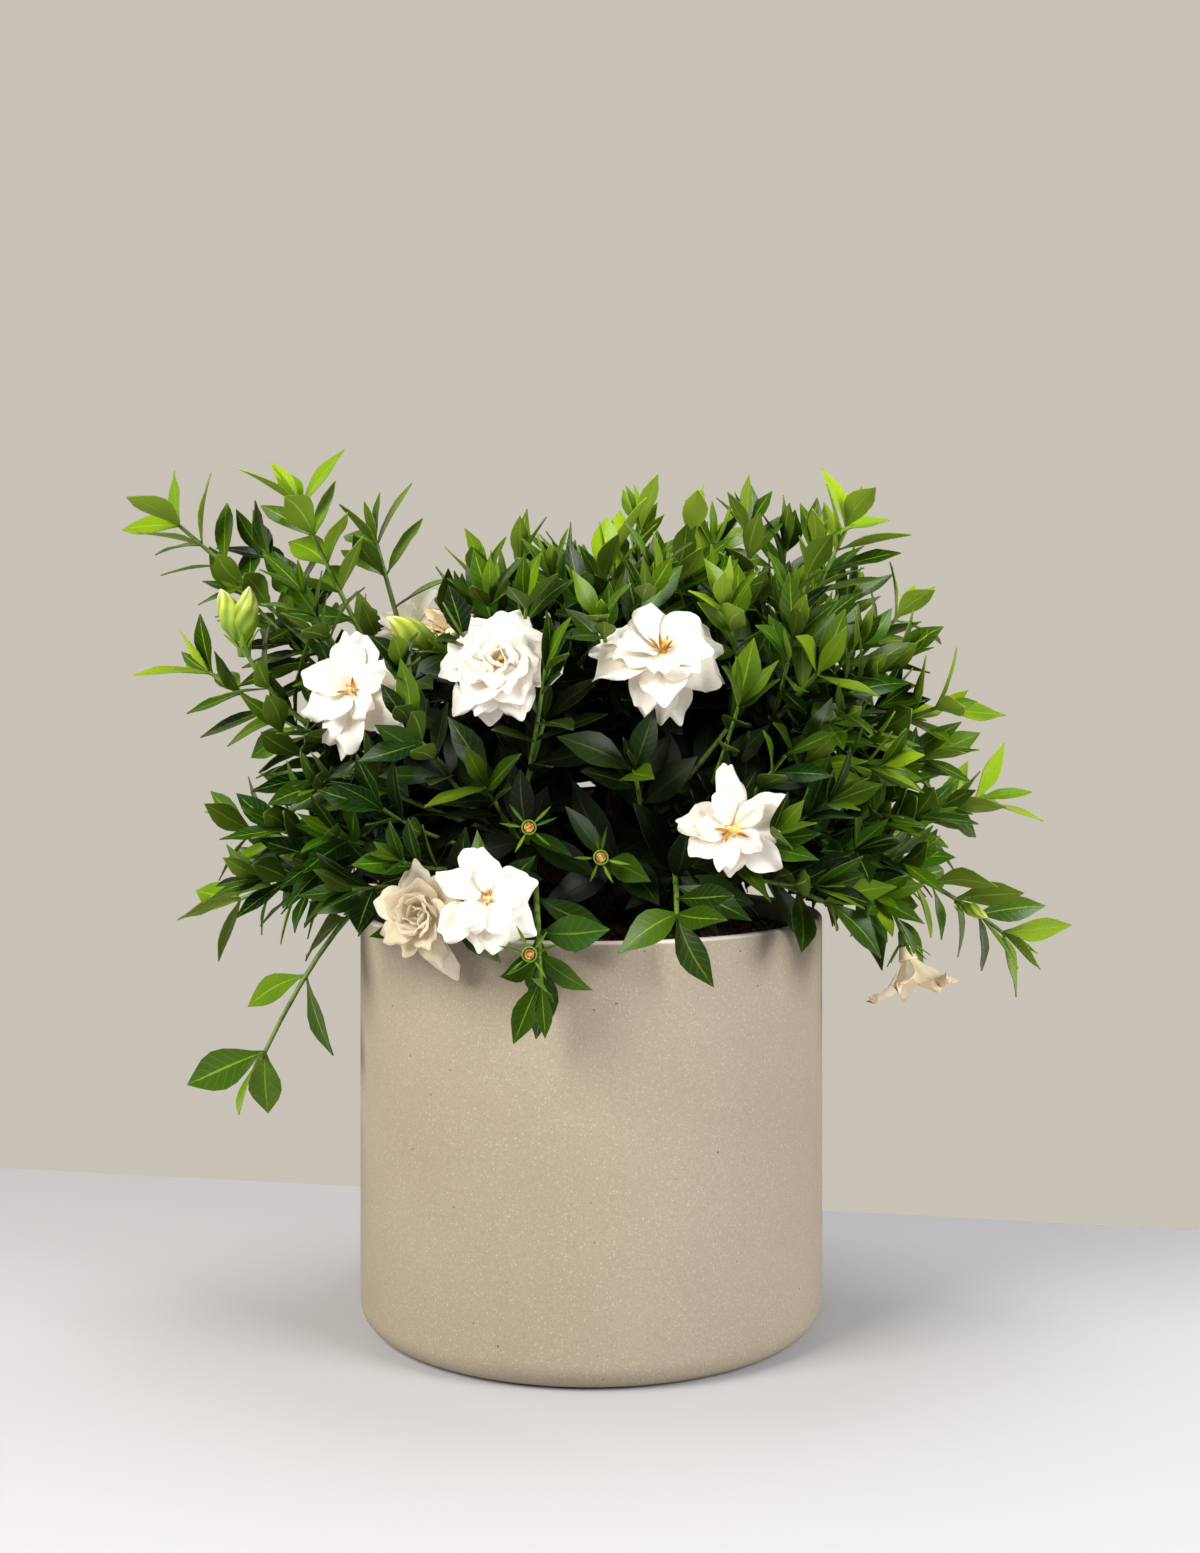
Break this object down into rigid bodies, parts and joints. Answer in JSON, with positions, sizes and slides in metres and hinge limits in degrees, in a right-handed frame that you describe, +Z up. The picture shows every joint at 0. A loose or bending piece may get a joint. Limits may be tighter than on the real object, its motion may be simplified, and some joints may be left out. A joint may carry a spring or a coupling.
{
  "type": "potted gardenia",
  "caption": "Double-flowered gardenia shrub with glossy whorled leaves, white blooms and buds, growing from soil in a straight-sided speckled stoneware pot with a rounded foot.",
  "frame": {"origin": "centre of the pot's flat foot, on the surface that the pot stands on", "axes": "+Z up along the pot's axis; -Y is the front, where most of the blooms open; +X is the viewer's right from the front"},
  "size_m": [0.6262, 0.4286, 0.5624],
  "materials": {
    "stoneware": "matte",
    "potting_soil": "matte",
    "bark": "matte",
    "foliage": "satin",
    "petals": "matte",
    "faded_petals": "matte",
    "anthers": "matte"
  },
  "bodies": {
    "root": {"pot": "stoneware", "soil": "potting_soil", "woody_stems": "bark", "bloom_low_left_petals": "petals", "bloom_low_petals": "petals", "bloom_low_heart": "anthers", "bloom_right_petals": "petals", "bloom_right_heart": "anthers", "bloom_hanging_petals": "faded_petals", "bloom_mid_petals": "petals", "bloom_mid_heart": "anthers", "bloom_left_petals": "petals", "bloom_left_heart": "anthers", "bloom_center_petals": "petals", "bloom_center_heart": "anthers", "bloom_behind_petals": "petals", "bloom_brown_petals": "faded_petals", "shoot_left_high": "foliage", "shoot_left_top": "foliage", "shoot_left_top_side": "foliage", "shoot_left_reach": "foliage", "shoot_left_buds": "foliage", "shoot_left_back_high": "foliage", "shoot_left_mid": "foliage", "shoot_left_low": "foliage", "shoot_left_rim": "foliage", "shoot_left_hanging": "foliage", "shoot_bloom_low_left": "foliage", "shoot_bloom_low": "foliage", "shoot_calyx_high": "foliage", "shoot_front_hanging": "foliage", "shoot_front_left": "foliage", "shoot_calyx_mid": "foliage", "shoot_front_rim": "foliage", "shoot_bloom_right": "foliage", "shoot_right_rim": "foliage", "shoot_front_right": "foliage", "shoot_right_low": "foliage", "shoot_right_reach": "foliage", "shoot_bloom_hanging": "foliage", "shoot_right_back_low": "foliage", "shoot_right_mid": "foliage", "shoot_right_high": "foliage", "shoot_right_top": "foliage", "shoot_right_back_high": "foliage", "shoot_right_front": "foliage", "shoot_top_right": "foliage", "shoot_top_mid": "foliage", "shoot_bloom_mid": "foliage", "shoot_top_back": "foliage", "shoot_top_left": "foliage", "shoot_bloom_left": "foliage", "shoot_bloom_center": "foliage", "shoot_bloom_behind": "foliage", "shoot_bloom_brown": "foliage", "shoot_small_bud": "foliage", "shoot_back_left": "foliage", "shoot_back_low": "foliage", "shoot_back_mid": "foliage", "shoot_back_right": "foliage"}
  },
  "joints": []
}
